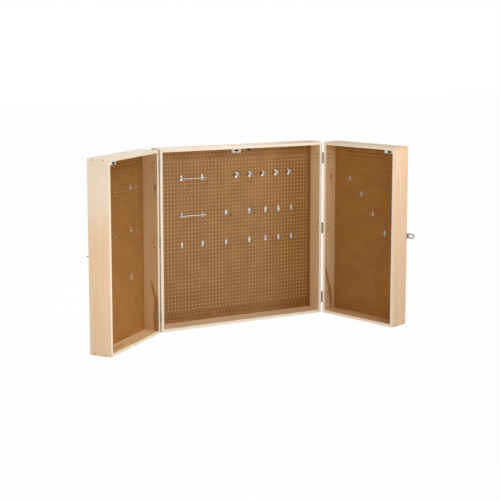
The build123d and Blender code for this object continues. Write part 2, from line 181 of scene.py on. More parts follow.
def case_vector(tree, case):
    """Object coordinates turned into a case's own across, deeper and up."""
    where = add(tree, "TexCoord").outputs["Object"]
    if case is None:
        return where
    shift = -axes(case) @ case.origin
    turn = -atan2(case.across[1], case.across[0])
    inputs = {"Vector": where, "Location": tuple(shift), "Rotation": (0.0, 0.0, turn)}
    return add(tree, "Mapping", inputs).outputs["Vector"]


# A layer of noise: its features per metre across and along the grain, what it adds to a seed, how
# detailed it is, the values between which it fades in, how strongly it then shows, and how bent
# and how rough it is. Nearly all of a noise lies between 0.3 and 0.7.
Layer = namedtuple(
    "Layer", "across along shift detail low high share bend rough", defaults=(0.3, 0.7, 1.0, 0.0, 0.5)
)
# Which way a seed moves a noise.
SEED_WAY = (1.0, 1.7, 0.6)


def noise(tree, where, layer, seed, grain=None):
    """A layer's noise, drawn out along the grain's axis, or even in all directions without one."""
    stretch = tuple(layer.along if axis == grain else layer.across for axis in range(3))
    shift = tuple((seed + layer.shift) * way for way in SEED_WAY)
    placed = add(tree, "Mapping", {"Vector": where, "Scale": stretch, "Location": shift}).outputs["Vector"]
    inputs = {"Vector": placed, "Scale": 1.0, "Detail": layer.detail}
    inputs.update({"Distortion": layer.bend, "Roughness": layer.rough})
    return add(tree, "TexNoise", inputs).outputs["Fac"]


def shown(tree, layer, value):
    """How strongly a layer shows where its noise has a value."""
    return ramp(tree, value, layer.low, layer.high, 0.0, layer.share)


def spread(tree, value, low, high):
    """A noise's usual values carried to a range of its own, such as of roughness."""
    return ramp(tree, value, 0.3, 0.7, low, high)


def scaled(tone, share):
    """A tone multiplied by a share, or by three, one for each of its parts."""
    return tuple(np.multiply(tone, share))


def bump(tree, shader, height, distance, strength):
    """A bump on the shader, of a height in metres."""
    inputs = {"Height": height, "Distance": distance, "Strength": strength}
    tree.links.new(add(tree, "Bump", inputs).outputs["Normal"], shader.inputs["Normal"])


# ---------------------------------------------------------------- wood
BANDS = Layer(11.0, 0.7, 0.0, 2.0, 0.30, 0.72, 0.55, bend=0.4)
FIGURE = Layer(60.0, 2.2, 3.1, 4.0, 0.36, 0.70, 0.45, bend=0.7)
FIBRES = Layer(620.0, 14.0, 7.3, 3.0, 0.45, 0.75, 0.22)
PORES = Layer(1400.0, 45.0, 9.9, 1.0, 0.62, 0.80, 0.30)
# How deep the painted shade of an inner face, and the painted highlight of a front edge, go into a
# board, and how deep they are full.
SKIN = 0.0015
FULL_SKIN = 0.4 * SKIN
# How strongly a board's front edge takes the paler tone of its painted highlight.
EDGE_HIGHLIGHT_SHARE = 0.75
# How deep the pores are, as a share of the fibres' height.
PORE_DEPTH = -0.6

# A mark on a board: its tone, its middle and half sizes along the case's own across, deeper and
# up (None along the way through the board), how far it bends, and how strong it is.
Mark = namedtuple("Mark", "tone middle half bend strength")
# How far the board's figure moves a mark, and how far out, squared, a mark is at full strength.
MARK_WOBBLE = 0.016
MARK_FULL = 0.35

# The side boards at the hinges are cut from one plank, so their knot and their heart streak match.
# The left door's free board is paler towards its top, a painted highlight, and the right one has a
# faint pin knot.
# The left door's bottom board has a brown streak along it.
BOARD_MARKS = {
    "right_door_side_hinged": [
        Mark("heart", (None, 0.0640, 0.9650), (None, 0.0130, 0.055), 0.0, 0.25),
        Mark("knot", (None, 0.0617, 0.9740), (None, 0.0075, 0.016), 0.0, 0.90),
        Mark("heart", (None, 0.0420, 0.1950), (None, 0.0150, 0.180), -0.24, 0.80),
        Mark("heart", (None, 0.0660, 0.0850), (None, 0.0150, 0.130), 0.0, 0.60),
    ],
    "left_door_side_hinged": [
        Mark("heart", (None, 0.0190, 0.9650), (None, 0.0130, 0.055), 0.0, 0.25),
        Mark("knot", (None, 0.0177, 0.9760), (None, 0.0052, 0.018), 0.0, 1.00),
        Mark("heart", (None, 0.0160, 0.0900), (None, 0.0290, 0.200), 0.0, 0.70),
        Mark("heart", (None, 0.0360, 0.2750), (None, 0.0085, 0.110), 0.24, 0.85),
    ],
    "left_door_side_free": [Mark("sawn", (None, 0.076, 1.600), (None, 0.350, 0.930), 0.0, 0.52)],
    "right_door_side_free": [Mark("heart", (None, 0.050, 0.980), (None, 0.012, 0.020), 0.0, 0.16)],
    "left_door_bottom": [Mark("heart", (-0.475, 0.055, None), (0.120, 0.0160, None), 0.0, 0.55)],
}
# What the painted shade of an inner face is multiplied by, board by board, on top of the painted
# shade that every inner face gets: deeper painted shade on the left door's side boards, and painted
# light from above on the upward faces of the middle box's and the left door's bottoms.
INNER_LIGHT_AND_SHADE_TINT = {
    "left_door_side_hinged": (0.92, 0.88, 0.80),
    "left_door_side_free": (0.92, 0.88, 0.80),
    "cabinet_bottom": (1.15, 1.25, 1.48),
    "left_door_bottom": (1.25, 1.34, 1.42),
    "right_door_bottom": (1.04, 0.97, 1.00),
}

# The tones of wood: its pale and its banded tone, its heartwood and its knots, the painted shade
# that an inner face is multiplied by, and the paler painted highlight of a front edge, which is also
# the painted highlight at the top of the left door's free board.
Tones = namedtuple("Tones", "pale middle heart knot aged sawn")


def mark_amount(tree, parts, mark):
    """How strongly a mark shows: one in its middle, falling to nothing at its edge, an ellipse
    whose middle moves sideways in proportion to the distance along its longest axis."""
    longest = max((half, axis) for axis, half in enumerate(mark.half) if half)[1]
    offsets = {
        axis: maths(tree, "SUBTRACT", parts[axis], mark.middle[axis])
        for axis, half in enumerate(mark.half)
        if half
    }
    squares = []
    for axis, offset in offsets.items():
        if axis != longest:
            offset = maths(tree, "SUBTRACT", offset, maths(tree, "MULTIPLY", offsets[longest], mark.bend))
        share = maths(tree, "DIVIDE", offset, mark.half[axis])
        squares.append(maths(tree, "MULTIPLY", share, share))
    away = maths(tree, "ADD", squares[0], squares[1])
    return ramp(tree, away, 1.0, MARK_FULL, 0.0, mark.strength)


def near_face(tree, part, place, inwards):
    """One on a board's face at a place along an axis, and zero from a skin's depth inside it.

    inwards is 1 where the board lies on the axis's higher side of that face, otherwise -1.
    """
    depth = maths(tree, "MULTIPLY", maths(tree, "SUBTRACT", part, place), inwards)
    return ramp(tree, depth, SKIN, FULL_SKIN)


def wood(name, case, grain, tones, seed, inside=None):
    """Pale solid wood, whose bands, fibres and pores are drawn out along its grain.

    grain is the axis of the case that the fibres follow. inside gives the axis, the place and the
    inward side of the face that gets painted light and shade, and with it the front edges get a
    painted highlight. The marks are the ones kept under the name.
    """
    material, tree, shader = new_material(name)
    local = case_vector(tree, case)
    parts = split(tree, local)
    bands, figure, fibres, pores = (
        noise(tree, local, layer, seed, grain) for layer in (BANDS, FIGURE, FIBRES, PORES)
    )
    banded = maths(tree, "ADD", shown(tree, BANDS, bands), shown(tree, FIGURE, figure))
    colour = mixed(tree, banded, tones.pale, tones.middle)
    colour = mixed(tree, shown(tree, FIBRES, fibres), colour, tones.middle)
    colour = mixed(tree, shown(tree, PORES, pores), colour, tones.heart)
    marks = BOARD_MARKS.get(name, ())
    if marks:
        wobble = maths(tree, "MULTIPLY", maths(tree, "SUBTRACT", figure, 0.5), MARK_WOBBLE)
        wobbled = [maths(tree, "ADD", part, wobble) for part in parts]
    for mark in marks:
        colour = mixed(tree, mark_amount(tree, wobbled, mark), colour, getattr(tones, mark.tone))
    # Painted highlight on the front edge, then painted light and shade on the inner face.
    if inside:
        front = float(reach(case, f"{case.name}_bottom")[0][DEEPER])
        highlighted = mixed(tree, EDGE_HIGHLIGHT_SHARE, colour, tones.sawn)
        colour = mixed(tree, near_face(tree, parts[DEEPER], front, 1.0), colour, highlighted)
        axis, place, inwards = inside
        amount = near_face(tree, parts[axis], place, inwards)
        colour = mixed(tree, amount, colour, mixed(tree, 1.0, colour, tones.aged, "MULTIPLY"))
    tree.links.new(colour, shader.inputs["Base Color"])
    tree.links.new(spread(tree, fibres, 0.42, 0.56), shader.inputs["Roughness"])
    shader.inputs["Specular IOR Level"].default_value = 0.35
    relief = maths(tree, "ADD", fibres, maths(tree, "MULTIPLY", pores, PORE_DEPTH))
    bump(tree, shader, relief, distance=0.00015, strength=0.4)
    return material


# ---------------------------------------------------------------- other finishes
MOTTLE = Layer(9.0, 9.0, 0.0, 3.0, 0.25, 0.75, 0.28)
CLOUDS = Layer(70.0, 70.0, 2.0, 3.0, 0.35, 0.70, 0.18)
SPECKLES = Layer(900.0, 900.0, 5.0, 4.0, 0.46, 0.72, 0.55, rough=0.7)
TORN_FIBRE = Layer(1500.0, 1500.0, 0.0, 3.0, 0.35, 0.70, 0.5)
DULL_PATCHES = Layer(55.0, 55.0, 0.0, 4.0, 0.35, 0.7)
SCUFFS = Layer(700.0, 240.0, 4.0, 3.0, 0.3, 0.75, 0.14)
RUBBED = Layer(80.0, 80.0, 0.0, 3.0, 0.45, 0.75, 0.5)
GRIT = Layer(1500.0, 1500.0, 2.0, 2.0)

# How a pegboard's finish differs from the settings: what its face and its hole walls are
# multiplied by, and how much darker its top is than its middle, as a share, which is a painted
# gradient of light down the sheet. The middle sheet's face tint is the painted shade of its right
# end. The doors' sheets are a yellower batch, darker inside.
Sheet = namedtuple("Sheet", "face core drift")
SHEETS = {
    "cabinet": Sheet((0.88, 0.85, 0.74), (1.0, 1.0, 1.0), -0.08),
    "left_door": Sheet((1.01, 0.97, 0.74), (0.72, 0.66, 2.0), 0.20),
    "right_door": Sheet((0.99, 0.89, 0.59), (0.64, 0.58, 1.8), -0.02),
}
# The middle sheet is painted lighter and greyer, painted light, except towards its right end, which
# keeps painted shade: where across the sheet the change from one to the other starts and ends, and
# the painted light's tint.
PAINTED_SHADE_ENDS = (0.21, 0.47)
PAINTED_LIGHT_TINT = (1.05, 1.14, 1.37)
# How far down from its top a door sheet's holes get painted shade, which covers its upper three rows.
DOOR_SHADE_DROP = 0.083
# Half the height over which holes turn into ones with painted shade, and what a shaded one's tone
# and the torn patches in a hole are multiplied by.
HOLE_SHADE_FADE = 0.001
HOLE_SHADE_FACTOR = 0.05
TORN_SHADE = 0.6


def hardboard(name, case, colour, dark, seed, lit_left_tone=None):
    """Tempered hardboard: pressed brown fibre, speckled, and a little glossy.

    The last argument is the tone that the colour has towards the left of where the change ends:
    painted light, paler and greyer than the painted shade at the sheet's right end.
    """
    material, tree, shader = new_material(name)
    local = case_vector(tree, case)
    parts = split(tree, local)
    mottle, cloud, speckle = (noise(tree, local, layer, seed) for layer in (MOTTLE, CLOUDS, SPECKLES))
    # Painted light on the middle sheet's left part, painted shade towards its right end.
    if lit_left_tone:
        colour = mixed(tree, ramp(tree, parts[ACROSS], *PAINTED_SHADE_ENDS), lit_left_tone, colour)
    tone = mixed(tree, shown(tree, MOTTLE, mottle), colour, dark)
    tone = mixed(tree, shown(tree, CLOUDS, cloud), tone, dark)
    tone = mixed(tree, shown(tree, SPECKLES, speckle), tone, dark)
    # Painted light and shade from the top of the sheet to its bottom.
    low, high = reach(case, f"{case.name}_pegboard")
    drift = SHEETS[case.name].drift
    heights = {"Value": parts[UPWARDS], "From Min": low[UPWARDS], "From Max": high[UPWARDS]}
    light_ends = {"To Min": 1.0 + drift, "To Max": 1.0 - drift}
    shade = add(tree, "MapRange", {**heights, **light_ends}).outputs["Result"]
    tone = add(tree, "VectorMath", {0: tone, "Scale": shade}, operation="SCALE").outputs[0]
    tree.links.new(tone, shader.inputs["Base Color"])
    tree.links.new(spread(tree, cloud, 0.46, 0.60), shader.inputs["Roughness"])
    shader.inputs["Specular IOR Level"].default_value = 0.12
    bump(tree, shader, speckle, distance=0.00012, strength=0.35)
    return material


def hole_walls(name, case, fibre, dark, seed):
    """The torn wall of a punched hole, with painted shade in the top rows and the middle sheet's bottom
    rows.
    """
    material, tree, shader = new_material(name)
    local = case_vector(tree, case)
    torn = noise(tree, local, TORN_FIBRE, seed)
    tone = mixed(tree, shown(tree, TORN_FIBRE, torn), fibre, scaled(fibre, TORN_SHADE))
    height = split(tree, local)[UPWARDS]
    # Painted shade in the holes over the middle box's rails and in the doors' top rows.
    if case is MIDDLE_BOX:
        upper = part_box("cabinet_rail_top")[0][2]
        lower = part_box("cabinet_rail_bottom")[1][2]
    else:
        upper = reach(case, f"{case.name}_pegboard")[1][UPWARDS] - DOOR_SHADE_DROP
    painted_dark = ramp(tree, height, upper - HOLE_SHADE_FADE, upper + HOLE_SHADE_FADE)
    if case is MIDDLE_BOX:
        painted_dark = maths(tree, "ADD", painted_dark, ramp(tree, height, lower + HOLE_SHADE_FADE, lower - HOLE_SHADE_FADE))
    tone = mixed(tree, painted_dark, tone, scaled(dark, HOLE_SHADE_FACTOR))
    tree.links.new(tone, shader.inputs["Base Color"])
    shader.inputs["Roughness"].default_value = 0.85
    bump(tree, shader, torn, distance=0.0002, strength=0.6)
    return material


# A finish of metal, paint or plastic: its tone, the tone of its worn patches, how rough it is, and
# its seed.
Finish = namedtuple("Finish", "tone worn roughness seed")
# How far in front of a pegboard a hook's plate ends and its bare wire starts, and over how far.
WIRE_START = 0.004
WIRE_FADE = 0.002


def metal(name, finish, wire=None):
    """Plated steel: a bright coat with duller cloudy patches and fine scuffs.

    wire gives a case, a depth in it and a tone, for wire that stands out in front of that depth;
    the tone is a painted reflection of the pegboard.
    """
    material, tree, shader = new_material(name)
    where = case_vector(tree, None)
    cloud = noise(tree, where, DULL_PATCHES, finish.seed)
    scuff = noise(tree, where, SCUFFS, finish.seed, UPWARDS)
    tone = mixed(tree, shown(tree, DULL_PATCHES, cloud), finish.tone, finish.worn)
    # The wire's brownish tone is a painted reflection of the pegboard.
    if wire:
        case, depth, reflected_tone = wire
        deeper = split(tree, case_vector(tree, case))[DEEPER]
        tone = mixed(tree, ramp(tree, deeper, depth, depth - WIRE_FADE), tone, reflected_tone)
    tree.links.new(tone, shader.inputs["Base Color"])
    rough = maths(tree, "ADD", shown(tree, SCUFFS, scuff), finish.roughness)
    tree.links.new(rough, shader.inputs["Roughness"])
    shader.inputs["Metallic"].default_value = 1.0
    bump(tree, shader, scuff, distance=0.00004, strength=0.3)
    return material


def moulded(name, finish, gloss=0.5):
    """Plastic, paint or ferrite: a fine even texture, with rubbed patches."""
    material, tree, shader = new_material(name)
    where = case_vector(tree, None)
    rubbed = noise(tree, where, RUBBED, finish.seed)
    tone = mixed(tree, shown(tree, RUBBED, rubbed), finish.tone, finish.worn)
    tree.links.new(tone, shader.inputs["Base Color"])
    rough = spread(tree, rubbed, finish.roughness, finish.roughness + 0.12)
    tree.links.new(rough, shader.inputs["Roughness"])
    shader.inputs["Specular IOR Level"].default_value = gloss
    bump(tree, shader, noise(tree, where, GRIT, finish.seed), distance=0.00005, strength=0.3)
    return material


def dress(node_name, material):
    """Gives a node of the frame one material."""
    slots = frame["nodes"][node_name].data.materials
    slots.clear()
    slots.append(material)


# ---------------------------------------------------------------- meshes
def piece_from(name, points, quads, body, materials, numbers):
    """A flat-shaded piece from arrays of points, quads and each quad's material number."""
    mesh = bpy.data.meshes.new(name)
    mesh.from_pydata(points.tolist(), [], quads.tolist())
    for material in materials:
        mesh.materials.append(material)
    mesh.polygons.foreach_set("material_index", numbers.astype(np.int32))
    mesh.update()
    piece = bpy.data.objects.new(name, mesh)
    bpy.context.scene.collection.objects.link(piece)
    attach(piece, body)
    return piece


# Points that round to the same ten-thousandth of a millimetre are made one.
WELDS_PER_METRE = 1e7


def welded(points, quads):
    """The points with those that coincide made one, and the quads with the points' new numbers."""
    grid = np.round(points * WELDS_PER_METRE).astype(np.int64)
    _, first, again = np.unique(grid, axis=0, return_index=True, return_inverse=True)
    return points[first], again.reshape(-1)[quads]


def band(loop_a, loop_b):
    """Quads between two closed loops of as many points: a(i), a(i+1), b(i+1), b(i)."""
    return np.stack([loop_a, np.roll(loop_a, -1), np.roll(loop_b, -1), loop_b], axis=1)


def holed_sheet(low, high, columns, rows, board):
    """A sheet with a square grid of punched holes through it, in case coordinates.

    Each hole has a square cell. Its rings are circles: a wide one at the front face, the drilled
    radius just inside it, and a narrow one at the rough back. The cell's outer ring is the same
    directions carried out to the square, so quads join it to the circles on both faces. The
    margin joins each point of the grid's edge to the same point scaled out to the sheet's edge.
    Returns points, quads and which quads are walls of holes.
    """
    pitch, sides = board.pitch, board.sides
    angle = (np.arange(sides) + 0.5) * 2 * pi / sides
    circle = np.stack([np.cos(angle), np.sin(angle)], axis=1)
    square = circle / np.abs(circle).max(axis=1, keepdims=True)
    flat_low, flat_high = low[[ACROSS, UPWARDS]], high[[ACROSS, UPWARDS]]
    middle = (flat_low + flat_high) / 2
    columns_at = (np.arange(columns) - (columns - 1) / 2) * pitch
    rows_at = (np.arange(rows) - (rows - 1) / 2) * pitch
    centres = np.stack(np.meshgrid(columns_at, rows_at), axis=-1).reshape(-1, 1, 2)

    outer = (centres + square * pitch / 2).reshape(-1, 2)
    mouth, drilled, rough = (
        (centres + circle * radius).reshape(-1, 2)
        for radius in (board.radius + board.rounding, board.radius, board.radius - board.burr)
    )
    ring = np.arange(len(centres))[:, None] * sides + np.arange(sides)
    after = np.arange(len(centres))[:, None] * sides + (np.arange(sides) + 1) % sides

    steps = np.unique(np.round(square[np.isclose(square[:, 1], 1.0), 0], 9)) * pitch / 2
    edge_x = np.unique(np.round((columns_at[:, None] + steps).reshape(-1), 9))
    edge_z = np.unique(np.round((rows_at[:, None] + steps).reshape(-1), 9))
    half = np.array([edge_x[-1], edge_z[-1]])
    loop = np.concatenate([
        np.stack([edge_x[:-1], np.full(len(edge_x) - 1, -half[1])], axis=1),
        np.stack([np.full(len(edge_z) - 1, half[0]), edge_z[:-1]], axis=1),
        np.stack([edge_x[:0:-1], np.full(len(edge_x) - 1, half[1])], axis=1),
        np.stack([np.full(len(edge_z) - 1, -half[0]), edge_z[:0:-1]], axis=1),
    ])
    rim = loop * (flat_high - flat_low) / 2 / half

    def layer(rings, depth):
        flat = np.concatenate(rings) + middle
        return np.stack([flat[:, 0], np.full(len(flat), depth), flat[:, 1]], axis=1)

    front_layer = layer([outer, mouth, loop, rim], low[DEEPER])
    back_layer = layer([outer, rough, loop, rim], high[DEEPER])
    drilled_layer = layer([drilled], low[DEEPER] + board.rounding)
    points = np.concatenate([front_layer, back_layer, drilled_layer])

    # Where each ring's points start: outer, mouth, loop and rim in front, then the same rings
    # again at the back with the rough one for the mouth, and last the drilled one.
    back, holes = len(front_layer), len(outer)
    loop_at = 2 * holes + np.arange(len(loop))
    rim_at = loop_at + len(loop)
    here, there = ring.reshape(-1), after.reshape(-1)

    def walls(upper, lower):
        return np.stack([here + upper, there + upper, there + lower, here + lower], axis=1)

    front = np.concatenate([walls(0, holes), band(rim_at, loop_at)])
    side = band(rim_at, rim_at + back)[:, [0, 3, 2, 1]]
    entry = walls(holes, 2 * back)
    wall = walls(2 * back, holes + back)
    quads = np.concatenate([front, front[:, ::-1] + back, side, entry, wall])
    is_wall = np.arange(len(quads)) >= len(quads) - len(entry) - len(wall)
    points, quads = welded(points, quads)
    return points, quads, is_wall


# What is added to a number of rows before it is cut down to a whole one.
ROUNDING_SLACK = 1e-6


def hole_counts(case, low, high, board):
    """How many columns and rows of holes a sheet has, with the least margin left at its edges.

    The columns, and the middle sheet's rows, are an odd number, with holes on the sheet's middle
    line. The doors' sheets have an even number of rows, with the middle line between two rows.
    """
    pitches = (high - low - 2 * board.margin) / board.pitch
    columns = 2 * int(pitches[ACROSS] / 2) + 1
    if case is MIDDLE_BOX:
        return columns, 2 * int(pitches[UPWARDS] / 2) + 1
    return columns, 2 * int((pitches[UPWARDS] + 1) / 2 + ROUNDING_SLACK)


# ---------------------------------------------------------------- settings
def colour_property(name, description, default):
    """A colour setting."""
    return FloatVectorProperty(
        name=name, description=description, default=default, min=0.0, max=1.0, subtype="COLOR"
    )


class TOOLCABINET_PG_wood(bpy.types.PropertyGroup):
    """Colours of the solid boards, panels and rails."""

    pale: colour_property("Pale wood", "Lightest tone of the boards", (0.845, 0.612, 0.402))
    middle: colour_property("Banded wood", "Tone of the growth bands", (0.775, 0.508, 0.30))
    heart: colour_property("Heartwood", "Tone of streaks and pores", (0.42, 0.175, 0.040))
    knot: colour_property("Knots", "Tone of the knots", (0.12, 0.040, 0.008))
    # Painted shade that the inner faces are multiplied by; the bottoms' tints turn some of it into painted
    # light.
    aged: colour_property("Inner faces", "What the inner faces are darkened by", (0.90, 0.88, 0.745))
    # Painted highlight of the front edges and of the top of the left door's free board.
    sawn: colour_property("Front edges", "Freshly sawn and sanded edges", (0.95, 0.86, 0.69))


class TOOLCABINET_PG_pegboard(bpy.types.PropertyGroup):
    """Sizes and colours of the pegboards."""

    pitch: FloatProperty(
        name="Hole pitch", description="From one hole to the next", default=0.0254, unit="LENGTH"
    )
    radius: FloatProperty(
        name="Hole radius", description="Half the width of a hole", default=0.003175, unit="LENGTH"
    )
    rounding: FloatProperty(
        name="Entry rounding",
        description="How far a hole's front edge is rounded",
        default=0.0006,
        unit="LENGTH",
    )
    burr: FloatProperty(
        name="Back burr",
        description="How much narrower a hole is at the rough back",
        default=0.0009,
        unit="LENGTH",
    )
    sides: IntProperty(
        name="Hole sides", description="Sides of each hole, 12 or 20", default=12, min=12, max=20
    )
    margin: FloatProperty(
        name="Least margin",
        description="From a sheet's edge to the middle of its nearest holes",
        default=0.019,
        unit="LENGTH",
    )
    face: colour_property("Hardboard", "Smooth face of the board", (0.375, 0.176, 0.053))
    dark: colour_property("Hardboard fibre", "Dark fibres in the face", (0.17, 0.066, 0.016))
    core: colour_property("Hardboard core", "Rough wall of a hole", (0.77, 0.46, 0.06))


class TOOLCABINET_PG_metal(bpy.types.PropertyGroup):
    """Colours of the plated steel."""

    bright: colour_property("Bright zinc", "Tool holders", (0.54, 0.54, 0.53))
    dull: colour_property("Dull zinc", "Patches on the tool holders", (0.38, 0.38, 0.375))
    # The hooks' wire tone is a painted reflection of the brown pegboard.
    wire: colour_property("Hook wire", "Wire of the hooks", (0.62, 0.51, 0.38))
    hinge: colour_property("Hinge steel", "Hinges", (0.20, 0.19, 0.17))
    screw: colour_property("Screw steel", "Screws", (0.16, 0.14, 0.12))


class TOOLCABINET_PG_studio(bpy.types.PropertyGroup):
    """The camera, the lamps and the floor."""

    left_power: FloatProperty(
        name="Left lamp", description="Large lamp low on the left", default=102.0, unit="POWER"
    )
    right_power: FloatProperty(
        name="Right lamp", description="Large lamp low in front", default=77.0, unit="POWER"
    )
    above_power: FloatProperty(
        name="Upper lamp", description="Large lamp above on the right", default=58.0, unit="POWER"
    )
    near_power: FloatProperty(
        name="Near lamps", description="Small lamps near the front", default=10.0, unit="POWER"
    )
    back_power: FloatProperty(
        name="Back lamp", description="Large lamp behind the cabinet", default=110.0, unit="POWER"
    )
    ambient: FloatProperty(
        name="Ambient light", description="Strength of the light from all around", default=0.25
    )
    floor_drop: FloatProperty(
        name="Floor", description="How far the floor is below the cabinet", default=0.9, unit="LENGTH"
    )


class TOOLCABINET_PG_settings(bpy.types.PropertyGroup):
    """All the settings of the tool cabinet."""

    wood: PointerProperty(type=TOOLCABINET_PG_wood)
    pegboard: PointerProperty(type=TOOLCABINET_PG_pegboard)
    metal: PointerProperty(type=TOOLCABINET_PG_metal)
    studio: PointerProperty(type=TOOLCABINET_PG_studio)


def wood_tones(context):
    """The tones of wood that are set."""
    wood_settings = context.scene.tool_cabinet.wood
    return Tones(*(tuple(getattr(wood_settings, name)) for name in Tones._fields))


# ---------------------------------------------------------------- operators
# Seeds: of the first board, and from one board to the next; of the doors' panels, of their cleats
# and of the rails, and from one panel or rail to the next; of the pegboards' faces and hole walls.
BOARD_SEED = 1.0
BOARD_SEED_STEP = 5.3
PANEL_SEED = 60.0
CLEAT_SEED = 70.0
RAIL_SEED = 80.0
BACKING_SEED_STEP = 4
SHEET_SEED = 11.0
SHEET_SEED_STEP = 6
CORE_SEED = 31.0


def boards(case):
    """A case's boards, each with its grain's axis and the axis of its inner face."""
    sides = ("side_left", "side_right") if case is MIDDLE_BOX else ("side_hinged", "side_free")
    upright = [(f"{case.name}_{side}", UPWARDS, ACROSS) for side in sides]
    level = [(f"{case.name}_{level}", ACROSS, UPWARDS) for level in ("top", "bottom")]
    return upright + level


class TOOLCABINET_OT_boards(bpy.types.Operator):
    """Dress the solid boards, each with its own grain."""

    bl_idname = "toolcabinet.boards"
    bl_label = "Boards"

    def execute(self, context):
        tones = wood_tones(context)
        seed = BOARD_SEED
        for case in CASES:
            for name, grain, inner_axis in boards(case):
                # Each board's inner face gets its own tint of painted light and shade.
                tinted = tones._replace(aged=scaled(tones.aged, INNER_LIGHT_AND_SHADE_TINT.get(name, 1.0)))
                dress(name, wood(name, case, grain, tinted, seed, inner_face(case, name, inner_axis)))
                seed += BOARD_SEED_STEP
        return {"FINISHED"}


# What a rail's front face, at the bottom of the holes over it, is darkened by: painted shade.
RAIL_FACE_SHADE = (0.05, 0.04, 0.03)


class TOOLCABINET_OT_backing(bpy.types.Operator):
    """Dress the doors' panels and cleats, and the hanging rails."""

    bl_idname = "toolcabinet.backing"
    bl_label = "Panels and rails"

    def execute(self, context):
        tones = wood_tones(context)
        for number, case in enumerate(DOORS):
            panel, cleats = f"{case.name}_panel", f"{case.name}_cleats"
            dress(panel, wood(panel, case, UPWARDS, tones, PANEL_SEED + BACKING_SEED_STEP * number))
            dress(cleats, wood(cleats, case, UPWARDS, tones, CLEAT_SEED + number))
        for number, level in enumerate(("top", "bottom")):
            rail = f"cabinet_rail_{level}"
            # Painted shade on each rail's front face, behind the sheet's holes.
            rail_face = (DEEPER, float(reach(MIDDLE_BOX, rail)[0][DEEPER]), 1.0)
            rail_shade_tones = tones._replace(aged=RAIL_FACE_SHADE)
            seed = RAIL_SEED + BACKING_SEED_STEP * number
            dress(rail, wood(rail, MIDDLE_BOX, ACROSS, rail_shade_tones, seed, rail_face))
        return {"FINISHED"}


class TOOLCABINET_OT_pegboards(bpy.types.Operator):
    """Make the three pegboards with their whole grids of holes."""

    bl_idname = "toolcabinet.pegboards"
    bl_label = "Pegboards"

    def execute(self, context):
        board = context.scene.tool_cabinet.pegboard
        for number, case in enumerate(CASES):
            node_name = f"{case.name}_pegboard"
            low, high = reach(case, node_name)
            columns, rows = hole_counts(case, low, high, board)
            points, quads, walls = holed_sheet(low, high, columns, rows, board)
            sheet = SHEETS[case.name]
            # The middle sheet gets painted light on its left and painted shade at its right end.
            face = hardboard(
                f"{case.name}_hardboard",
                case,
                scaled(board.face, sheet.face),
                tuple(board.dark),
                SHEET_SEED + SHEET_SEED_STEP * number,
                scaled(board.face, PAINTED_LIGHT_TINT) if case is MIDDLE_BOX else None,
            )
            fibre = scaled(board.core, sheet.core)
            core = hole_walls(
                f"{case.name}_hole_walls", case, fibre, tuple(board.dark), CORE_SEED + number
            )
            piece = piece_from(
                f"{case.name}_peg_sheet",
                to_world(case, points),
                quads,
                case.name,
                [face, core],
                walls,
            )
            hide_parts(node_name)
        return {"FINISHED"}


# The worn patches of the hinges and the screws.
HINGE_WORN = (0.20, 0.19, 0.18)
SCREW_WORN = (0.20, 0.16, 0.12)
HASP_ZINC = Finish((0.48, 0.57, 0.66), (0.35, 0.42, 0.49), 0.30, 4.0)
STRIKE_STEEL = Finish((0.10, 0.09, 0.08), (0.05, 0.045, 0.04), 0.34, 5.0)
STAPLE_STEEL = Finish((0.22, 0.22, 0.21), (0.13, 0.13, 0.12), 0.34, 13.0)
# The catch is white plastic, greyed as painted shade under the top board.
CATCH_WHITE_IN_SHADE = Finish((0.46, 0.42, 0.37), (0.36, 0.33, 0.29), 0.38, 6.0)
WHITE_PAINT = Finish((0.80, 0.76, 0.70), (0.66, 0.60, 0.52), 0.40, 12.0)
MAGNET_BLACK = Finish((0.006, 0.005, 0.004), (0.014, 0.012, 0.010), 0.55, 7.0)
MAGNET_GLOSS = 0.12


class TOOLCABINET_OT_fittings(bpy.types.Operator):
    """Dress the hinges, the screws, the catches, the hasp and the staple."""

    bl_idname = "toolcabinet.fittings"
    bl_label = "Fittings"

    def execute(self, context):
        tones = context.scene.tool_cabinet.metal
        by_name = {
            "leaf": metal("hinge_steel", Finish(tuple(tones.hinge), HINGE_WORN, 0.34, 2.0)),
            "screws": metal("screw_steel", Finish(tuple(tones.screw), SCREW_WORN, 0.38, 3.0)),
            "hasp": metal("hasp_zinc", HASP_ZINC),
            "strike": metal("strike_steel", STRIKE_STEEL),
            "staple": metal("staple_steel", STAPLE_STEEL),
            "catch": moulded("catch_white_in_shade", CATCH_WHITE_IN_SHADE),
            "corner": moulded("white_paint", WHITE_PAINT),
            "magnet": moulded("magnet_black", MAGNET_BLACK, MAGNET_GLOSS),
        }
        by_name["keeper"] = by_name["magnet"]
        for node_name in frame["nodes"]:
            for word in node_name.split("_"):
                if word in by_name:
                    dress(node_name, by_name[word])
        return {"FINISHED"}


# What the plating's tones are multiplied by on each box's hooks and on the clips, lighter copies
# as painted light, and on the bar holders, whose copy is a little yellower, and duller as painted
# shade.
HOOK_LIGHT_SHARE = {"cabinet": 1.12, "left_door": 1.80, "right_door": 1.35}
CLIP_LIGHT_SHARE = 1.35
BAR_SHADE_TINT = (0.88, 0.84, 0.76)
ZINC_ROUGHNESS = 0.30


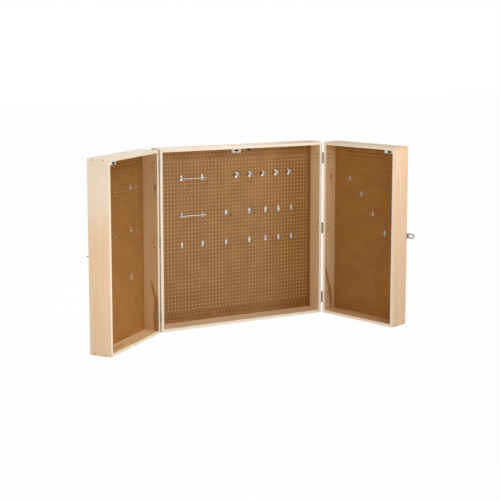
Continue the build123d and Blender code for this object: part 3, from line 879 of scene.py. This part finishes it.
class TOOLCABINET_OT_holders(bpy.types.Operator):
    """Dress the tool holders."""

    bl_idname = "toolcabinet.holders"
    bl_label = "Tool holders"

    def execute(self, context):
        tones = context.scene.tool_cabinet.metal

        # Lit and shaded copies of the one zinc: painted light and painted shade.
        def zinc(share, seed):
            return Finish(scaled(tones.bright, share), scaled(tones.dull, share), ZINC_ROUGHNESS, seed)

        dress("spring_clips", metal("clip_zinc", zinc(CLIP_LIGHT_SHARE, 8.0)))
        hooks = {"left_door": ["left_door_hooks"], "right_door": ["right_door_hooks"]}
        hooks["cabinet"] = [
            name for name in frame["nodes"] if "hook" in name and not name.endswith("door_hooks")
        ]
        for case in CASES:
            board_face = float(reach(case, f"{case.name}_pegboard")[0][DEEPER])
            wire = (case, board_face - WIRE_START, tuple(tones.wire))
            wired = metal(f"{case.name}_wire_zinc", zinc(HOOK_LIGHT_SHARE[case.name], 9.0), wire)
            for node_name in hooks[case.name]:
                dress(node_name, wired)
        bar_zinc = metal("bar_zinc", zinc(BAR_SHADE_TINT, 10.0))
        for level in ("upper", "lower"):
            dress(f"bar_holder_{level}", bar_zinc)
        return {"FINISHED"}


# The camera stands in front, to the left and above, turned to the right and tipped down, and a
# lens shift does the rest of the tipping, so that the boards' uprights stay nearly parallel.
CAMERA_PLACE = (-3.1250, -6.4549, 1.9099)
CAMERA_TURN = 26.424
CAMERA_TIP = -6.867
CAMERA_LENS = 76.11
CAMERA_SHIFT = -0.16
SENSOR = 36.0

# A lamp: its name, its place, the point it faces, its width, the setting that gives its power, and
# its share of that power.
Lamp = namedtuple("Lamp", "name place target size setting share")
MIDDLE = (0.0, 0.0, 0.6)
UPPER = (0.0, 0.0, 1.0)
LAMPS = [
    Lamp("left", (-5.52, -2.01, 1.85), MIDDLE, 2.6, "left_power", 1.0),
    Lamp("right", (2.93, -5.08, 1.85), MIDDLE, 2.6, "right_power", 1.0),
    Lamp("above", (3.20, -1.85, 5.33), MIDDLE, 2.6, "above_power", 1.0),
    Lamp("near_upper", (0.76, -1.90, 1.58), UPPER, 0.9, "near_power", 1.0),
    Lamp("near_lower", (-0.90, -1.30, 0.50), UPPER, 0.9, "near_power", 0.5),
    Lamp("back", (1.6, 5.2, 1.4), MIDDLE, 2.6, "back_power", 1.0),
]

WHITE = (1.0, 1.0, 1.0, 1.0)
# Half the floor's width, its two greys, and how white it shows where it is seen directly: the rest
# keeps the cabinet's shadow.
FLOOR_REACH = 40.0
FLOOR_GREYS = ((0.86, 0.86, 0.86), (0.84, 0.84, 0.84))
FLOOR_GLOW = 0.985
FLOOR_GRAIN = Layer(3.0, 3.0, 0.0, 3.0)


def add_lamp(scene, lamp, power):
    """A square area lamp that faces its point."""
    data = bpy.data.lights.new(lamp.name, "AREA")
    data.shape = "SQUARE"
    data.size = lamp.size
    data.energy = lamp.share * power
    made = bpy.data.objects.new(lamp.name, data)
    made.location = lamp.place
    made.visible_camera = False
    towards = Vector(lamp.target) - Vector(lamp.place)
    made.rotation_euler = towards.to_track_quat("-Z", "Y").to_euler()
    scene.collection.objects.link(made)


def add_camera(scene):
    """The camera, with its turn and its tip in degrees from a level look along +Y."""
    data = bpy.data.cameras.new("camera")
    data.sensor_width = SENSOR
    data.lens = CAMERA_LENS
    data.shift_y = CAMERA_SHIFT
    camera = bpy.data.objects.new("camera", data)
    camera.location = CAMERA_PLACE
    camera.rotation_euler = (radians(90.0 + CAMERA_TIP), 0.0, -radians(CAMERA_TURN))
    scene.collection.objects.link(camera)
    scene.camera = camera


def seen_directly(tree):
    """One where a ray comes from the camera, or through or off glass or metal, otherwise zero."""
    path = add(tree, "LightPath")
    seen = maths(tree, "MAXIMUM", path.outputs["Is Camera Ray"], path.outputs["Is Glossy Ray"])
    return maths(tree, "MAXIMUM", seen, path.outputs["Is Transmission Ray"])


def add_surroundings(scene, ambient):
    """Surroundings that light the cabinet softly, and are plain white where they are seen."""
    world = bpy.data.worlds.new("surroundings")
    scene.world = world
    world.use_nodes = True
    tree = world.node_tree
    tree.nodes.clear()
    light = add(tree, "Background", {"Color": WHITE, "Strength": ambient})
    white = add(tree, "Background", {"Color": WHITE, "Strength": 1.0})
    both = add(tree, "MixShader", {0: seen_directly(tree), 1: light.outputs[0], 2: white.outputs[0]})
    add(tree, "OutputWorld", {"Surface": both.outputs[0]})


def floor_material():
    """A pale floor that shows white where it is seen directly, but for the cabinet's shadow."""
    material, tree, shader = new_material("floor")
    grain = noise(tree, case_vector(tree, None), FLOOR_GRAIN, 0.0)
    grey = mixed(tree, shown(tree, FLOOR_GRAIN, grain), *FLOOR_GREYS)
    tree.links.new(grey, shader.inputs["Base Color"])
    shader.inputs["Roughness"].default_value = 0.8
    glow = add(tree, "Emission", {"Color": WHITE, "Strength": 1.0})
    amount = maths(tree, "MULTIPLY", seen_directly(tree), FLOOR_GLOW)
    both = add(tree, "MixShader", {0: amount, 1: shader.outputs[0], 2: glow.outputs[0]})
    output = next(node for node in tree.nodes if node.type == "OUTPUT_MATERIAL")
    tree.links.new(both.outputs[0], output.inputs["Surface"])
    return material


def add_floor(scene, drop):
    """A wide flat floor below the cabinet."""
    corners = FLOOR_REACH * np.array([(-1.0, -1.0), (1.0, -1.0), (1.0, 1.0), (-1.0, 1.0)])
    points = np.hstack([corners, np.full((4, 1), -drop)])
    mesh = bpy.data.meshes.new("floor")
    mesh.from_pydata(points.tolist(), [], [(0, 1, 2, 3)])
    mesh.materials.append(floor_material())
    floor = bpy.data.objects.new("floor", mesh)
    scene.collection.objects.link(floor)


class TOOLCABINET_OT_stage(bpy.types.Operator):
    """Set up the camera, the lamps, the floor and the white surroundings."""

    bl_idname = "toolcabinet.stage"
    bl_label = "Stage"

    def execute(self, context):
        scene = context.scene
        studio = scene.tool_cabinet.studio
        scene.view_settings.view_transform = "Standard"
        add_camera(scene)
        for lamp in LAMPS:
            add_lamp(scene, lamp, getattr(studio, lamp.setting))
        add_surroundings(scene, studio.ambient)
        add_floor(scene, studio.floor_drop)
        return {"FINISHED"}


# ---------------------------------------------------------------- panel and registration
STEPS = [
    TOOLCABINET_OT_boards,
    TOOLCABINET_OT_backing,
    TOOLCABINET_OT_pegboards,
    TOOLCABINET_OT_fittings,
    TOOLCABINET_OT_holders,
    TOOLCABINET_OT_stage,
]


class TOOLCABINET_PT_panel(bpy.types.Panel):
    """The settings and steps of the tool cabinet."""

    bl_idname = "TOOLCABINET_PT_panel"
    bl_label = "Tool Cabinet"
    bl_space_type = "VIEW_3D"
    bl_region_type = "UI"
    bl_category = "Tool Cabinet"

    def draw(self, context):
        layout = self.layout
        settings = context.scene.tool_cabinet
        for group_name in ("wood", "pegboard", "metal", "studio"):
            group = getattr(settings, group_name)
            box = layout.box()
            box.label(text=group_name.title())
            for key in group.bl_rna.properties.keys():
                if key not in ("rna_type", "name"):
                    box.prop(group, key)
        for step in STEPS:
            layout.operator(step.bl_idname)


CLASSES = [
    TOOLCABINET_PG_wood,
    TOOLCABINET_PG_pegboard,
    TOOLCABINET_PG_metal,
    TOOLCABINET_PG_studio,
    TOOLCABINET_PG_settings,
    *STEPS,
    TOOLCABINET_PT_panel,
]


def register():
    for cls in CLASSES:
        bpy.utils.register_class(cls)
    bpy.types.Scene.tool_cabinet = PointerProperty(type=TOOLCABINET_PG_settings)


def unregister():
    del bpy.types.Scene.tool_cabinet
    for cls in reversed(CLASSES):
        bpy.utils.unregister_class(cls)


def main():
    """Runs each step in order."""
    register()
    for step in STEPS:
        group, name = step.bl_idname.split(".")
        getattr(getattr(bpy.ops, group), name)()


if __name__ == "__main__":
    main()
